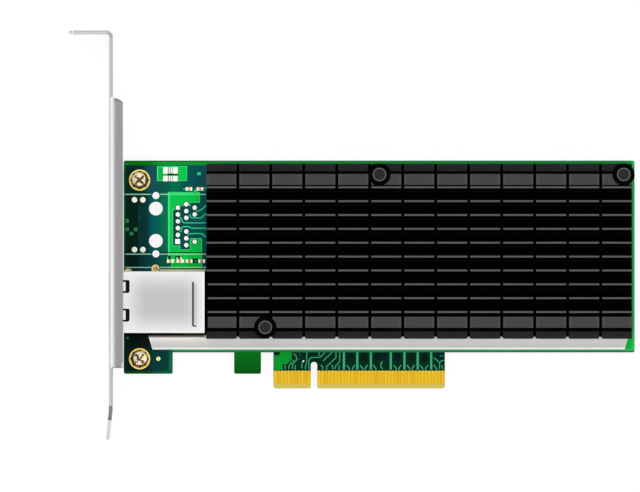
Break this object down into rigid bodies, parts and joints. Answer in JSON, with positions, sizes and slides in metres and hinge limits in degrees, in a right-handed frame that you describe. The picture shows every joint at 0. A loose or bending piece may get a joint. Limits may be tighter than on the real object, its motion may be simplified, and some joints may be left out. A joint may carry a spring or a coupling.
{
  "type": "network interface card",
  "caption": "Plug-in network card with a shielded RJ45 jack, slotted mounting bracket, gold edge contacts and a finned heatsink.",
  "frame": {"origin": "where the centre line of the key slot meets the contact edge, on the component face of the board", "axes": "+X along the board away from the bracket, +Y from the contact edge towards the bracket's screw flange, +Z out of the component side; the card lies on its back"},
  "size_m": [0.1691, 0.1223, 0.0188],
  "materials": {
    "circuit_board": "green solder mask over glass-epoxy laminate",
    "edge_contacts_front": "gold-plated copper",
    "edge_contacts_back": "gold-plated copper",
    "io_bracket": "nickel-plated folded steel sheet",
    "bracket_screws": "yellow-passivated steel, cross recess",
    "lock_washers": "yellow-passivated spring steel",
    "jack_shield": "bright tin-plated sheet",
    "jack_housing": "black moulded insulator",
    "jack_contacts": "gold-plated spring wire",
    "jack_magnetics": "black potted block",
    "jack_pins": "tinned square pins",
    "left_status_light": "milky light pipe",
    "right_status_light": "milky light pipe",
    "controller_substrate": "laminate with green mask",
    "controller_lid": "nickel-plated heat spreader",
    "thermal_pad": "grey gap filler",
    "heatsink": "black anodised extrusion with saw-cut fins",
    "push_pins": "black nylon",
    "push_pin_springs": "spring wire",
    "stiffener_bar": "satin extruded bar",
    "flash_memory": "black moulded package with tinned legs",
    "reference_crystal": "ceramic case with metal lid",
    "power_inductors": "pressed grey ferrite",
    "voltage_regulators": "black moulded package",
    "bulk_capacitors": "black moulded case with folded feet",
    "chip_resistors": "dark body, tinned ends",
    "chip_capacitors": "brown body, tinned ends",
    "decoupling_capacitors": "brown body, tinned ends"
  },
  "bodies": {
    "root": {"circuit_board": "circuit_board", "edge_contacts_front": "edge_contacts_front", "edge_contacts_back": "edge_contacts_back", "io_bracket": "io_bracket", "bracket_screws": "bracket_screws", "lock_washers": "lock_washers", "jack_shield": "jack_shield", "jack_housing": "jack_housing", "jack_contacts": "jack_contacts", "jack_magnetics": "jack_magnetics", "jack_pins": "jack_pins", "left_status_light": "left_status_light", "right_status_light": "right_status_light", "controller_substrate": "controller_substrate", "controller_lid": "controller_lid", "thermal_pad": "thermal_pad", "heatsink": "heatsink", "push_pins": "push_pins", "push_pin_springs": "push_pin_springs", "stiffener_bar": "stiffener_bar", "flash_memory": "flash_memory", "reference_crystal": "reference_crystal", "power_inductors": "power_inductors", "voltage_regulators": "voltage_regulators", "bulk_capacitors": "bulk_capacitors", "chip_resistors": "chip_resistors", "chip_capacitors": "chip_capacitors", "decoupling_capacitors": "decoupling_capacitors"}
  },
  "joints": []
}
